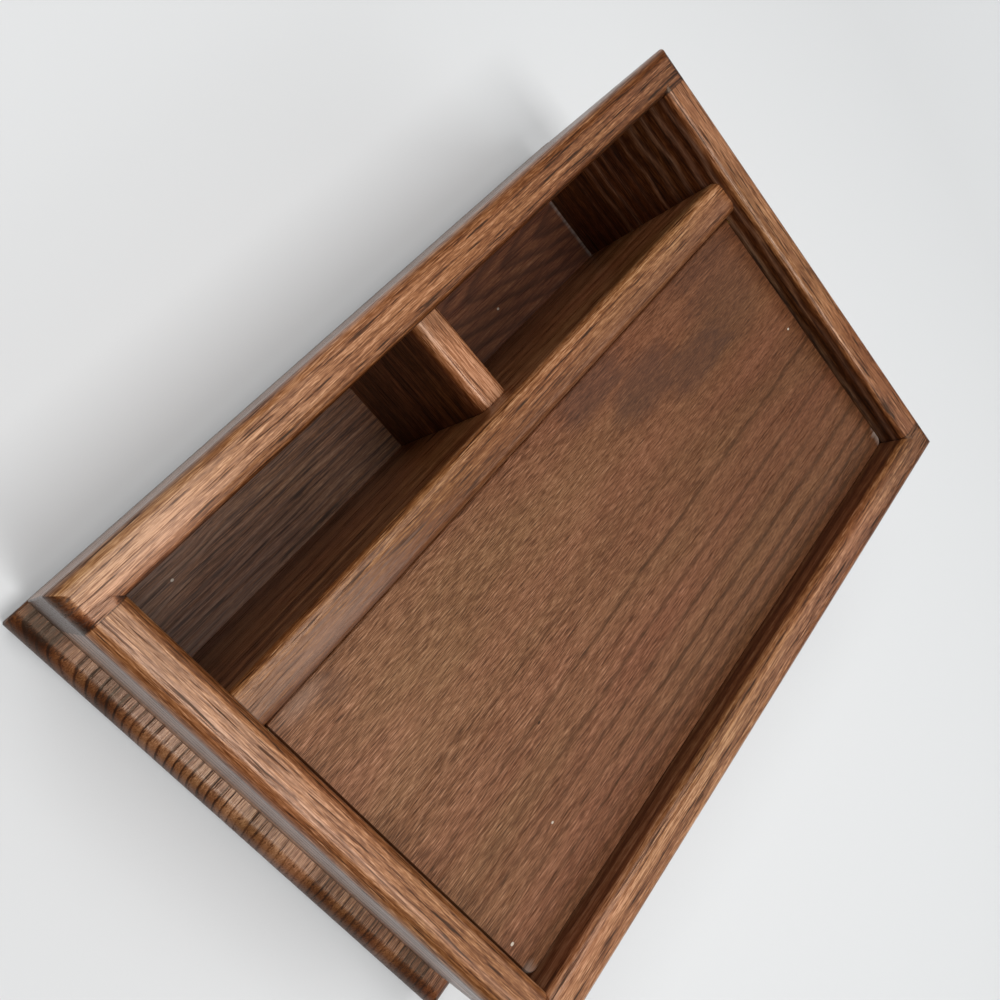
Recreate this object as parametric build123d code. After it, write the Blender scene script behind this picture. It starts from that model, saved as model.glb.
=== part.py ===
from build123d import *
import math
import os

os.makedirs("parts", exist_ok=True)

# Desk organizer: a box of 19 mm oak boards on an overhanging base board.
# Two deep pen bays run along the back, and a lidded compartment fills the front.
# +X runs along the box to its right end, +Y to the pen bays at the back, +Z up.
# The origin is the bottom centre of the whole piece.

# ---- boards ----
board = 19.0                  # thickness of the walls, the partition and the base
body_length = 396.9           # outside length of the walls, along X
body_depth = 276.2            # outside depth of the walls, along Y
wall_height = 122.8           # walls, above the base board
rim_round_out = 6.4           # roundover along the outer top edges of the walls
rim_round_in = 4.8            # roundover along the inner top edges of the walls
corner_ease = 1.0             # sanded outer upright corners

# ---- base and feet ----
base_end_overhang = 13.7      # base board beyond the left and right ends
base_front_overhang = 21.0    # base board beyond the front wall; flush at the back
base_bullnose = 9.0           # rounding of the base board's front and end edges
base_back_ease = 0.8          # eased lower edge at the back
foot_height = 2.0             # felt pad
foot_radius = 10.0
foot_inset_x = 34.0           # pad centre from the base board's end
foot_inset_y = 30.0           # pad centre from the base board's front or back edge

# ---- inner boards ----
partition_to_back = 51.8      # clear width of the pen bays
partition_drop = 6.0          # partition's top below the rim
partition_round = 5.2
divider_thickness = 18.0
divider_from_left = 169.1     # clear length of the left pen bay
divider_drop = 24.5           # divider's top below the rim
divider_round = 5.5

# ---- lid ----
lid_thickness = 12.0
lid_drop = 14.0               # lid's top below the rim
lid_gap_left = 1.2
lid_gap_right = 2.2
lid_gap_front = 2.5
lid_gap_rear = 1.2            # between the lid and the partition
lid_corner_radius = 4.5       # plan radius of the two front corners
lid_ease = 0.8                # chamfer along the front and end edges of both faces
lid_rear_round = 1.5          # upper rear edge, which swings past the partition
pin_radius = 1.5              # brass pivot pin at each end of the lid
pin_below_top = 3.2           # pin's middle below the lid's top face
pin_from_rear = 2.8           # pin's middle from the lid's rear edge
pin_in_wall = 9.0
pin_in_lid = 12.0
pin_running_gap = 0.08        # radial, in the lid
pin_seat_gap = 0.12           # radial, in the wall
pin_end_gap = 0.6             # bore deeper than the pin's end

# ---- ledgers under the lid ----
ledger_width = 10.0           # out from the wall
ledger_height = 12.0
ledger_ease = 1.5             # lower inner arris
ledger_rear_gap = 9.0         # side ledgers end this far in front of the pivot

# ---- dowels ----
dowel_radius = 4.0
dowel_glue_gap = 0.15
dowel_end_gap = 1.0
dowel_in_face = 11.0          # dowel's length in the board it meets face on
corner_dowel_length = 40.0
corner_dowel_low = 28.0       # lower dowel above the base board
corner_dowel_high = 92.0      # upper dowel above the base board
partition_dowel_length = 40.0
partition_dowel_low = 28.0
partition_dowel_high = 84.0
divider_dowel_length = 28.0
divider_dowel_level = 58.0

# ---- base screws ----
screw_radius = 2.1
screw_length = 40.0
screw_head_radius = 4.2
screw_head_height = 3.2
screw_hole_gap = 0.15
screw_end_gap = 1.0
screws_per_wall = 2           # along the front and back walls
wall_screw_inset = 46.0       # first and last screw from the wall's ends

# ---- levels and planes that follow ----
base_bottom = foot_height
base_top = base_bottom + board
rim = base_top + wall_height

left = -body_length / 2
right = body_length / 2
back = (body_depth + base_front_overhang) / 2
front = back - body_depth
inner_left = left + board
inner_right = right - board
inner_back = back - board
inner_front = front + board

base_left = left - base_end_overhang
base_right = right + base_end_overhang
base_front = front - base_front_overhang

partition_back = inner_back - partition_to_back
partition_front = partition_back - board
partition_top = rim - partition_drop
divider_left = inner_left + divider_from_left
divider_right = divider_left + divider_thickness
divider_top = rim - divider_drop

lid_top = rim - lid_drop
lid_bottom = lid_top - lid_thickness
lid_left = inner_left + lid_gap_left
lid_right = inner_right - lid_gap_right
lid_front = inner_front + lid_gap_front
lid_back = partition_front - lid_gap_rear
pivot_y = lid_back - pin_from_rear
pivot_z = lid_top - pin_below_top

ledger_top = lid_bottom
ledger_bottom = ledger_top - ledger_height
side_ledger_back = pivot_y - ledger_rear_gap


# ---- shapes used throughout ----
def block(x0, x1, y0, y1, z0, z1):
    """A box given by its six limits."""
    place = Pos((x0 + x1) / 2, (y0 + y1) / 2, (z0 + z1) / 2)
    return place * Box(x1 - x0, y1 - y0, z1 - z0)


def rod(start, direction, radius, length):
    """A round rod that starts at a point and runs along a direction."""
    return Plane(origin=start, z_dir=direction) * extrude(Circle(radius), length)


def spread(low, high, count):
    """Evenly spaced values from low to high, both included."""
    return [low + (high - low) * i / (count - 1) for i in range(count)]


def top_edges(shape, axis):
    """The highest edges of a shape that lie along one axis."""
    return shape.edges().filter_by(axis).group_by(Axis.Z)[-1]


def cut_all(shape, tools):
    """A board with a list of holes taken out of it."""
    for tool in tools:
        shape -= tool
    return shape


def save(shape, name):
    """One STEP file for one piece."""
    export_step(shape, "parts/" + name + ".step")


# ---- dowels: each with the blind hole that takes it ----
def dowel_pair(start, direction, length):
    """A dowel and its hole; start is the dowel's end in the board it meets face on."""
    step = Vector(*direction)
    hole_start = Vector(*start) - step * dowel_end_gap
    hole_length = length + 2 * dowel_end_gap
    hole = rod(hole_start, direction, dowel_radius + dowel_glue_gap, hole_length)
    return rod(start, direction, dowel_radius, length), hole


corner_pairs = []
for x in (left + board / 2, right - board / 2):
    for level in (corner_dowel_low, corner_dowel_high):
        for y, way in ((inner_front - dowel_in_face, 1), (inner_back + dowel_in_face, -1)):
            start = (x, y, base_top + level)
            corner_pairs.append(dowel_pair(start, (0, way, 0), corner_dowel_length))

partition_pairs = []
partition_middle = (partition_front + partition_back) / 2
for level in (partition_dowel_low, partition_dowel_high):
    for x, way in ((inner_left - dowel_in_face, 1), (inner_right + dowel_in_face, -1)):
        start = (x, partition_middle, base_top + level)
        partition_pairs.append(dowel_pair(start, (way, 0, 0), partition_dowel_length))

divider_pairs = []
divider_middle = (divider_left + divider_right) / 2
for y, way in ((partition_back - dowel_in_face, 1), (inner_back + dowel_in_face, -1)):
    start = (divider_middle, y, base_top + divider_dowel_level)
    divider_pairs.append(dowel_pair(start, (0, way, 0), divider_dowel_length))

corner_dowels, corner_holes = zip(*corner_pairs)
partition_dowels, partition_holes = zip(*partition_pairs)
divider_dowels, divider_holes = zip(*divider_pairs)


# ---- base screws, driven up through the base board ----
def base_screw(x, y):
    """A countersunk wood screw and its hole, with the head flush under the base board."""
    shank_start = (x, y, base_bottom + screw_head_height)
    head_middle = Pos(x, y, base_bottom + screw_head_height / 2)
    head = head_middle * Cone(screw_head_radius, screw_radius, screw_head_height)
    shank = rod(shank_start, (0, 0, 1), screw_radius, screw_length - screw_head_height)
    hole_radius = screw_radius + screw_hole_gap
    sink_radius = screw_head_radius + screw_hole_gap
    sink = head_middle * Cone(sink_radius, hole_radius, screw_head_height)
    bore = rod((x, y, base_bottom), (0, 0, 1), hole_radius, screw_length + screw_end_gap)
    return head + shank, bore + sink


screw_pairs = []
for y in (front + board / 2, back - board / 2):
    for x in spread(left + wall_screw_inset, right - wall_screw_inset, screws_per_wall):
        screw_pairs.append(base_screw(x, y))
base_screws, screw_holes = zip(*screw_pairs)


# ---- ledgers under the lid, glued to the walls ----
def ledger(x0, x1, y0, y1, along, away):
    """A strip under the lid, along one axis, with its lower edge away from the wall eased."""
    strip = block(x0, x1, y0, y1, ledger_bottom, ledger_top)
    lower_edges = strip.edges().filter_by(along).group_by(Axis.Z)[0]
    return chamfer(lower_edges.sort_by(away)[-1], ledger_ease)


ledger_left = ledger(
    inner_left, inner_left + ledger_width,
    inner_front, side_ledger_back, Axis.Y, Axis.X,
)
ledger_right = ledger(
    inner_right - ledger_width, inner_right,
    inner_front, side_ledger_back, Axis.Y, Axis.X.reverse(),
)
ledger_front = ledger(
    inner_left + ledger_width, inner_right - ledger_width,
    inner_front, inner_front + ledger_width, Axis.X, Axis.Y,
)

# ---- pivot pins ----
def pivot_pin(wall_face, lid_face, way):
    """A pin from the wall into the lid, its hole in the wall and its bore in the lid."""
    gap = abs(lid_face - wall_face)
    length = pin_in_wall + gap + pin_in_lid
    start = (wall_face - way * pin_in_wall, pivot_y, pivot_z)
    pin = rod(start, (way, 0, 0), pin_radius, length)
    seat_start = (start[0] - way * pin_end_gap, pivot_y, pivot_z)
    seat = rod(seat_start, (way, 0, 0), pin_radius + pin_seat_gap, pin_in_wall + pin_end_gap)
    bore_start = (lid_face, pivot_y, pivot_z)
    bore = rod(bore_start, (way, 0, 0), pin_radius + pin_running_gap, pin_in_lid + pin_end_gap)
    return pin, seat, bore


pin_left, pin_seat_left, pin_bore_left = pivot_pin(inner_left, lid_left, 1)
pin_right, pin_seat_right, pin_bore_right = pivot_pin(inner_right, lid_right, -1)

# ---- the four walls: routed round as one ring, then parted at the butt joints ----
ring = block(left, right, front, back, base_top, rim)
ring = fillet(top_edges(ring, Axis.X) + top_edges(ring, Axis.Y), rim_round_out)
ring -= block(inner_left, inner_right, inner_front, inner_back, base_top, rim)
rim_middle = Vertex(0, (front + back) / 2, rim)
inner_rim = top_edges(ring, Axis.X).sort_by_distance(rim_middle)[:2]
inner_rim += top_edges(ring, Axis.Y).sort_by_distance(rim_middle)[:2]
ring = fillet(inner_rim, rim_round_in)
outline = Rectangle(body_length, body_depth)
outline = fillet(outline.vertices(), corner_ease)
ring &= Pos(0, (front + back) / 2, base_top) * extrude(outline, wall_height)

front_wall = ring & block(left, right, front, inner_front, base_top, rim)
back_wall = ring & block(left, right, inner_back, back, base_top, rim)
left_end_wall = ring & block(left, inner_left, inner_front, inner_back, base_top, rim)
right_end_wall = ring & block(inner_right, right, inner_front, inner_back, base_top, rim)

# ---- partition and divider ----
partition = block(
    inner_left, inner_right, partition_front, partition_back, base_top, partition_top
)
partition = fillet(top_edges(partition, Axis.X), partition_round)
pen_divider = block(
    divider_left, divider_right, partition_back, inner_back, base_top, divider_top
)
pen_divider = fillet(top_edges(pen_divider, Axis.Y), divider_round)

# ---- base board ----
base_board = block(base_left, base_right, base_front, back, base_bottom, base_top)
long_edges = base_board.edges().filter_by(Axis.X).group_by(Axis.Y)[0]
end_edges = base_board.edges().filter_by(Axis.Y)
base_board = fillet(long_edges + end_edges, base_bullnose)
back_edge = base_board.edges().filter_by(Axis.X).group_by(Axis.Y)[-1].sort_by(Axis.Z)[0]
base_board = chamfer(back_edge, base_back_ease)

# ---- lid: a flat panel that turns just under its upper rear edge ----
lid_panel = block(lid_left, lid_right, lid_front, lid_back, lid_bottom, lid_top)
front_corners = lid_panel.edges().filter_by(Axis.Z).group_by(Axis.Y)[0]
lid_panel = fillet(front_corners, lid_corner_radius)
rear_edge = lid_panel.edges().filter_by(Axis.X).group_by(Axis.Y)[-1].sort_by(Axis.Z)[-1]
lid_panel = fillet(rear_edge, lid_rear_round)
front_edge = lid_panel.edges().filter_by(Axis.X).group_by(Axis.Y)[0]
lid_panel = chamfer(front_edge, lid_ease)
lid_panel = cut_all(lid_panel, (pin_bore_left, pin_bore_right))

# ---- holes in the boards ----
front_wall = cut_all(front_wall, corner_holes + screw_holes)
back_wall = cut_all(back_wall, corner_holes + divider_holes + screw_holes)
left_end_wall = cut_all(left_end_wall, corner_holes + partition_holes + (pin_seat_left,))
right_end_wall = cut_all(right_end_wall, corner_holes + partition_holes + (pin_seat_right,))
partition = cut_all(partition, partition_holes + divider_holes)
pen_divider = cut_all(pen_divider, divider_holes)
base_board = cut_all(base_board, screw_holes)

# ---- felt feet ----
feet = {}
for side, x in (("left", base_left + foot_inset_x), ("right", base_right - foot_inset_x)):
    for end, y in (("front", base_front + foot_inset_y), ("back", back - foot_inset_y)):
        feet["foot_pad_" + end + "_" + side] = rod((x, y, 0), (0, 0, 1), foot_radius, foot_height)

# ---- files ----
save(base_board, "base_board")
save(front_wall, "front_wall")
save(back_wall, "back_wall")
save(left_end_wall, "left_end_wall")
save(right_end_wall, "right_end_wall")
save(partition, "partition")
save(pen_divider, "pen_divider")
save(lid_panel, "lid_panel")
save(pin_left, "lid_pivot_pin_left")
save(pin_right, "lid_pivot_pin_right")
save(ledger_left, "lid_ledger_left")
save(ledger_right, "lid_ledger_right")
save(ledger_front, "lid_ledger_front")
save(Compound(list(corner_dowels)), "corner_dowels")
save(Compound(list(partition_dowels)), "partition_dowels")
save(Compound(list(divider_dowels)), "divider_dowels")
save(Compound(list(base_screws)), "base_screws")
for name, pad in feet.items():
    save(pad, name)

print("pivot y, z:", round(pivot_y, 3), round(pivot_z, 3))
print("overall:", base_right - base_left, back - base_front, rim)
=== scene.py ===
# %% [markdown]
# # A stained oak desk organizer with a lift lid
# The boards, the lid and its pins come in from the construction model, already at
# This script gives them what a workshop gives them last:
# wood with real grain, brown stain, satin varnish and a few signs of use. Some light and
# shade is also painted into the wood's colour.
# Everything is in metres. +X runs to the right end, +Y to the pen bays, +Z up.

# %% Load the frame
import math

import bpy
from mathutils import Matrix, Vector


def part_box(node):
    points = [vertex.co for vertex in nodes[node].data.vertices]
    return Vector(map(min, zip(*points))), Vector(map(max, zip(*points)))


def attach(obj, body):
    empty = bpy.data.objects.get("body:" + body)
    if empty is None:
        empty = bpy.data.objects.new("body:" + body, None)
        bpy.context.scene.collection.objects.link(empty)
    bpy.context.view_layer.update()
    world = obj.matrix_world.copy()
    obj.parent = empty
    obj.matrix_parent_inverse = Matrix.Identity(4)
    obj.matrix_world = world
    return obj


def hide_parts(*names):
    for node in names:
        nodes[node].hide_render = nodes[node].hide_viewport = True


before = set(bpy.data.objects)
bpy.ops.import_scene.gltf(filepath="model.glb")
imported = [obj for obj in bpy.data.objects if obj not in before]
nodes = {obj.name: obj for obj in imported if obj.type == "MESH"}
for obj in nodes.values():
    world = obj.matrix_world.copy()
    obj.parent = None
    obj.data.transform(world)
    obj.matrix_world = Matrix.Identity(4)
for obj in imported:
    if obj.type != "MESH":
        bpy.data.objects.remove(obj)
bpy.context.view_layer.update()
bpy.ops.object.select_all(action="DESELECT")

# %% [markdown]
# ## Levels to work from
# Patterns on the wood have to start at real places, such as a corner or a joint.
# They could be typed in as numbers, but then they would drift if a board changed.
# So the main planes are read from the boards themselves.

# %% Planes of the box
wall_low, wall_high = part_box("front_wall")
back_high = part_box("back_wall")[1]
lid_low, lid_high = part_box("lid_panel")
base_low, base_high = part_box("base_board")
partition_low, partition_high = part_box("partition")
divider_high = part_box("pen_divider")[1]
rim = wall_high.z
board = wall_high.y - wall_low.y
left, right = wall_low.x, wall_high.x
front, back = wall_low.y, back_high.y
floor_level = base_high.z
print("rim height:", round(rim, 4), "board:", round(board, 4))

# %% [markdown]
# ## Small helpers for shader nodes
# A wood shader has many nodes. They could be placed one by one, at three or four lines
# each. Here one helper adds a node, fills its sockets and links what comes from another
# node, and a few more do the sums that every pattern needs.

# %% Node helpers
def plug_in(tree, plug, value):
    """Links a socket, or writes a number or colour into it."""
    if isinstance(value, bpy.types.NodeSocket):
        tree.links.new(value, plug)
    else:
        plug.default_value = value


def add(tree, kind, inputs=None, **settings):
    """Adds a node with its settings, and fills the inputs named or numbered."""
    made = tree.nodes.new(kind)
    for key, value in settings.items():
        setattr(made, key, value)
    for key, value in (inputs or {}).items():
        plug_in(tree, made.inputs[key], value)
    return made


def calc(tree, operation, a, b=0.0, c=0.0):
    """One sum on numbers or links."""
    made = add(tree, "ShaderNodeMath", operation=operation)
    for place, value in enumerate((a, b, c)):
        plug_in(tree, made.inputs[place], value)
    return made.outputs[0]


def times(tree, first, *others):
    """The product of two or more values."""
    for other in others:
        first = calc(tree, "MULTIPLY", first, other)
    return first


def vector(tree, operation, a, b=(0.0, 0.0, 0.0), c=(0.0, 0.0, 0.0)):
    """One sum on vectors."""
    made = add(tree, "ShaderNodeVectorMath", operation=operation)
    for place, value in enumerate((a, b, c)):
        if place < 2 or operation == "MULTIPLY_ADD":
            plug_in(tree, made.inputs[place], value)
    return made.outputs["Value" if operation == "LENGTH" else "Vector"]


print("node helpers are ready: plug_in, add, calc, times, vector")

# %% [markdown]
# ## Soft edges and uneven patterns
# Nothing on old wood has a hard edge or an even strength. A fade carries one value into
# another and stops at both ends. Noise gives the unevenness, and stretching it along
# one axis turns spots into fibres. A second form of it is centred on zero, so that it
# can be added to a value without making it brighter on the whole.

# %% Fade and noise
def fade(tree, value, low, high, at_low=0.0, at_high=1.0):
    """Carries a value from one range to another and holds it at both ends."""
    made = add(tree, "ShaderNodeMapRange", {"Value": value, "From Min": low, "From Max": high,
                                            "To Min": at_low, "To Max": at_high}, clamp=True)
    return made.outputs["Result"]


def noise(tree, point, scale, detail=2.0, rough=0.5):
    """Noise stretched by its own scale along each axis, centred on 0.5."""
    stretched = vector(tree, "MULTIPLY", point, scale)
    made = add(tree, "ShaderNodeTexNoise", {"Vector": stretched, "Scale": 1.0,
                                            "Detail": detail, "Roughness": rough})
    return made.outputs["Fac"]


def swing(tree, point, scale, detail=2.0, rough=0.5):
    """The same noise, centred on zero."""
    return calc(tree, "SUBTRACT", noise(tree, point, scale, detail, rough), 0.5)


print("pattern helpers are ready: fade, noise, swing")

# %% [markdown]
# ## Colour from a value
# Stain has no colour of its own on wood: the more a spot drinks, the darker and redder
# it gets. So patterns are worked out as plain values, and a ramp turns them into colour
# at the very end. Mixing painted colours from the start would go grey.

# %% Colour helpers
def ramp(tree, value, stops):
    """Turns a value into a colour through a row of stops."""
    made = add(tree, "ShaderNodeValToRGB", {"Fac": value})
    row = made.color_ramp.elements
    row[0].position, row[1].position = stops[0][0], stops[-1][0]
    row[0].color, row[1].color = (*stops[0][1], 1.0), (*stops[-1][1], 1.0)
    for place, colour in stops[1:-1]:
        row.new(place).color = (*colour, 1.0)
    return made.outputs[0]


def grey(pairs):
    """Stops that carry plain values, for a ramp that shapes a value."""
    return [(place, (value,) * 3) for place, value in pairs]


def tint(tree, share, first, second, blend="MIX"):
    """Mixes two colours by a share."""
    made = add(tree, "ShaderNodeMix", data_type="RGBA", blend_type=blend)
    for place, value in ((0, share), (6, first), (7, second)):
        if isinstance(value, tuple):
            value = (*value, 1.0)
        plug_in(tree, made.inputs[place], value)
    return made.outputs[2]


print("colour helpers are ready: ramp, grey, tint")

# %% [markdown]
# ## Lines and spots at chosen places
# Most grain may fall where it likes, but a few lines on a real board catch the eye and
# give it its face. They could be painted in a texture. One colour ramp does it without:
# each line is a peak in the ramp, and a wandering coordinate keeps it from being ruled.
# A ramp holds 32 stops and a line takes three, so one call draws ten lines at most.
# Stains and knots are ovals, measured by the distance from their middle.

# %% Line and spot helpers
def stripes(tree, value, low, high, marks):
    """Soft lines at given values. Each mark is (middle, half width, strength)."""
    stops = []
    for middle, half, strength in sorted(marks):
        for at, share in ((middle - half, 0.0), (middle, strength), (middle + half, 0.0)):
            stops.append(((at - low) / (high - low), (share,) * 3))
    span = add(tree, "ShaderNodeMapRange", {"Value": value, "From Min": low, "From Max": high}).outputs[0]
    return ramp(tree, span, stops)


def patch(tree, point, centre, reach, soft=0.6, ragged=None):
    """A soft oval mark: 1 inside, 0 outside. A ragged value eats into its edge."""
    shifted = vector(tree, "SUBTRACT", point, centre)
    scaled = vector(tree, "MULTIPLY", shifted, tuple(1.0 / r for r in reach))
    away = vector(tree, "LENGTH", scaled)
    if ragged is not None:
        away = calc(tree, "ADD", away, ragged)
    return fade(tree, away, 1.0, 1.0 - soft)


print("mark helpers are ready: stripes, patch")

# %% [markdown]
# ## Stained oak
# An oak board is cut from a trunk of nested rings. Each ring starts with a band of wide
# pores, which drink the stain and turn dark, and ends in dense wood that stays lighter.
# A flat picture of grain would not meet at a board's corners. So the rings are worked
# out in space, round a heart line outside the board, and each face cuts through them:
# long lines along the board, arches on a flat-sawn face and stripes on the end grain.
# Over the rings lie short dark dashes for the open pores, finer dashes and specks for
# the fibres, and a broad drift from light to dark. All of them add up to one tone, which
# a ramp turns into stained brown. The ramps run from almost black to the honey colour
# of rubbed edges.

# %% Oak colours and grain sizes
RAIL_OAK = [(0.0, (0.020, 0.006, 0.002)), (0.25, (0.070, 0.019, 0.005)), (0.5, (0.155, 0.050, 0.014)),
            (0.75, (0.290, 0.118, 0.042)), (1.0, (0.510, 0.262, 0.130))]
LID_OAK = [(0.0, (0.016, 0.005, 0.002)), (0.25, (0.052, 0.016, 0.005)), (0.5, (0.118, 0.042, 0.016)),
           (0.75, (0.205, 0.088, 0.040)), (1.0, (0.360, 0.180, 0.100))]
HUE_DRIFT = [(0.3, (0.96, 1.03, 0.98)), (0.7, (1.05, 0.96, 1.04))]
VARNISH_SHINE = (1.0, 0.74, 0.54, 1.0)
EARLY_WOOD = grey([(0.0, 0.55), (0.1, 1.0), (0.3, 0.85), (0.55, 0.2), (0.8, 0.0), (1.0, 0.35)])

# Waves per metre of each pattern: along the grain, then the two ways across it.
LONG_DRIFT, SHORT_DRIFT = (3.0, 14.0, 14.0), (25.0, 120.0, 120.0)
FIBRES, PORES = (10.0, 740.0, 150.0), (48.0, 1250.0, 1250.0)
SPECKS, BLOTCHES = (240.0, 2100.0, 2100.0), (5.0, 24.0, 24.0)
HUES = (8.0, 34.0, 34.0)
EARLY_SHARE, RING_CONTRAST_UPRIGHT = 0.4, 2.4
GRAIN_DEPTH = 0.0003
print("stained brown goes from", RAIL_OAK[0][1], "to", RAIL_OAK[-1][1])

# %% [markdown]
# ## Rings and fibres
# The rings come first, because the fibres are laid along them. A slow and a quick drift
# keep the rings from being true circles, which no tree grows. Fibres and pores could be
# one noise, but open pores are wider and darker, and crowd together in the early wood.

# %% Rings and fibres
def year_rings(tree, placed, shifted, heart, ring, wander):
    """Distance to the heart line, place within the year, and how much of it is early wood."""
    drift = swing(tree, shifted, LONG_DRIFT)
    fine_drift = swing(tree, shifted, SHORT_DRIFT, 1.0)
    cross = vector(tree, "MULTIPLY_ADD", placed, (0.0, 1.0, 1.0), (0.0, -heart[0], -heart[1]))
    radius = calc(tree, "MULTIPLY_ADD", drift, wander, vector(tree, "LENGTH", cross))
    radius = calc(tree, "MULTIPLY_ADD", fine_drift, wander * 0.2, radius)
    year = calc(tree, "FRACT", calc(tree, "DIVIDE", radius, ring))
    return radius, year, ramp(tree, year, EARLY_WOOD)


def grain(tree, shifted, radius, early, dash_size):
    """Fibres along the rings, dashes, specks, a broad drift, and open pores."""
    lengthwise = add(tree, "ShaderNodeSeparateXYZ", {0: shifted}).outputs
    ringwise = add(tree, "ShaderNodeCombineXYZ", {0: lengthwise[0], 1: radius, 2: lengthwise[2]}).outputs[0]
    fibre = swing(tree, ringwise, FIBRES, 4.0, 0.68)
    dash = swing(tree, shifted, (dash_size[0], dash_size[1], dash_size[1]), 2.0, 0.7)
    speck = swing(tree, shifted, SPECKS, 1.0, 0.6)
    broad = swing(tree, shifted, BLOTCHES, 3.0)
    pore = fade(tree, noise(tree, shifted, PORES, 1.0), 0.55, 0.66)
    pore = times(tree, pore, fade(tree, early, 0.0, 0.8, 0.35, 1.0))
    return fibre, dash, speck, broad, pore


print("fibres in a centimetre across the grain:", FIBRES[1] / 100, "pores:", PORES[1] / 100)

# %% [markdown]
# ## Ends of a board
# End grain drinks the stain evenly, so it loses most of its pattern and turns dark. The
# tone can also slope from one end of a board to the other; on the back wall and the lid
# that slope is painted sheen, lighter at their left ends. Where a board butts against
# another, glue and shade draw a hairline across its end. It could be a cut in the mesh,
# but it is finer than the mesh needs to be, so it is drawn.

# %% End grain and joints
END_CALM = 0.6
JOINT_START, JOINT_WIDTH, JOINT_DEPTH = 0.0002, 0.0006, 0.45


def board_ends(tree, tone, spot, normal, board_name, along, level, slope, end, butt):
    """Darkens the end grain, slopes the tone from end to end, and draws the butt joints."""
    facing = fade(tree, calc(tree, "ABSOLUTE", normal[along]), 0.15, 0.65)
    calmed = add(tree, "ShaderNodeMix", {0: times(tree, facing, END_CALM), 2: tone, 3: level}).outputs[0]
    tone = calc(tree, "MULTIPLY_ADD", facing, -end, calmed)
    low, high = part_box(board_name)
    axis = "XY".index(along)
    drifted = add(tree, "ShaderNodeMapRange", {
        "Value": spot[along], "From Min": low[axis], "From Max": high[axis],
        "To Min": slope[0], "To Max": slope[1]}).outputs[0]
    tone = calc(tree, "ADD", tone, drifted)
    if butt:
        away = calc(tree, "SUBTRACT", spot[along], (low[axis] + high[axis]) / 2)
        from_end = calc(tree, "SUBTRACT", (high[axis] - low[axis]) / 2, calc(tree, "ABSOLUTE", away))
        joint = fade(tree, from_end, JOINT_START, JOINT_WIDTH, 1.0, 0.0)
        tone = calc(tree, "MULTIPLY_ADD", joint, -JOINT_DEPTH, tone)
    return tone


print("butt joints are drawn", JOINT_WIDTH * 1000, "mm wide")

# %% [markdown]
# ## Varnish
# Varnish gives the dense wood its shine and sinks into the pores, so the coat follows
# the tone: dark spots stay dull. One even gloss would look like plastic film. The grain
# is also raised a little as bump, less under the coat than in the wood.

# %% Varnish
WOOD_BUMP, COAT_BUMP, COAT_ROUGHNESS = 0.35, 0.18, 0.3
DULL_TONE, SHINY_TONE = 0.25, 0.65


def varnish(tree, colour, tone, fibre, dash, pore, rough, coat, gloss):
    """Ends the material: colour, raised grain, and a coat that follows the tone."""
    sheen = times(tree, coat, fade(tree, tone, DULL_TONE, SHINY_TONE))
    height = calc(tree, "MULTIPLY_ADD", dash, 0.7, calc(tree, "MULTIPLY_ADD", pore, -0.8, fibre))
    bump, soft = (add(tree, "ShaderNodeBump", {"Height": height, "Strength": strength,
                                               "Distance": GRAIN_DEPTH})
                  for strength in (WOOD_BUMP, COAT_BUMP))
    shader = add(tree, "ShaderNodeBsdfPrincipled", {
        "Base Color": colour, "Roughness": calc(tree, "MULTIPLY_ADD", pore, 0.25, rough),
        "Normal": bump.outputs[0], "Specular IOR Level": gloss, "Specular Tint": VARNISH_SHINE,
        "Coat Weight": sheen, "Coat Roughness": COAT_ROUGHNESS, "Coat Normal": soft.outputs[0]})
    add(tree, "ShaderNodeOutputMaterial", {"Surface": shader.outputs[0]})


print("raised grain:", GRAIN_DEPTH * 1000, "mm")

# %% [markdown]
# ## One recipe for every oak board
# A lively rail and a calm lid are the same wood, so they share one recipe, and each
# strength is a setting with a name. Rings show most on upright faces, because on top the
# stain has been wiped over them. A board's own marks come in through extra, which can
# change the tone or lay a thin veil of another colour over the wood.

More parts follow.
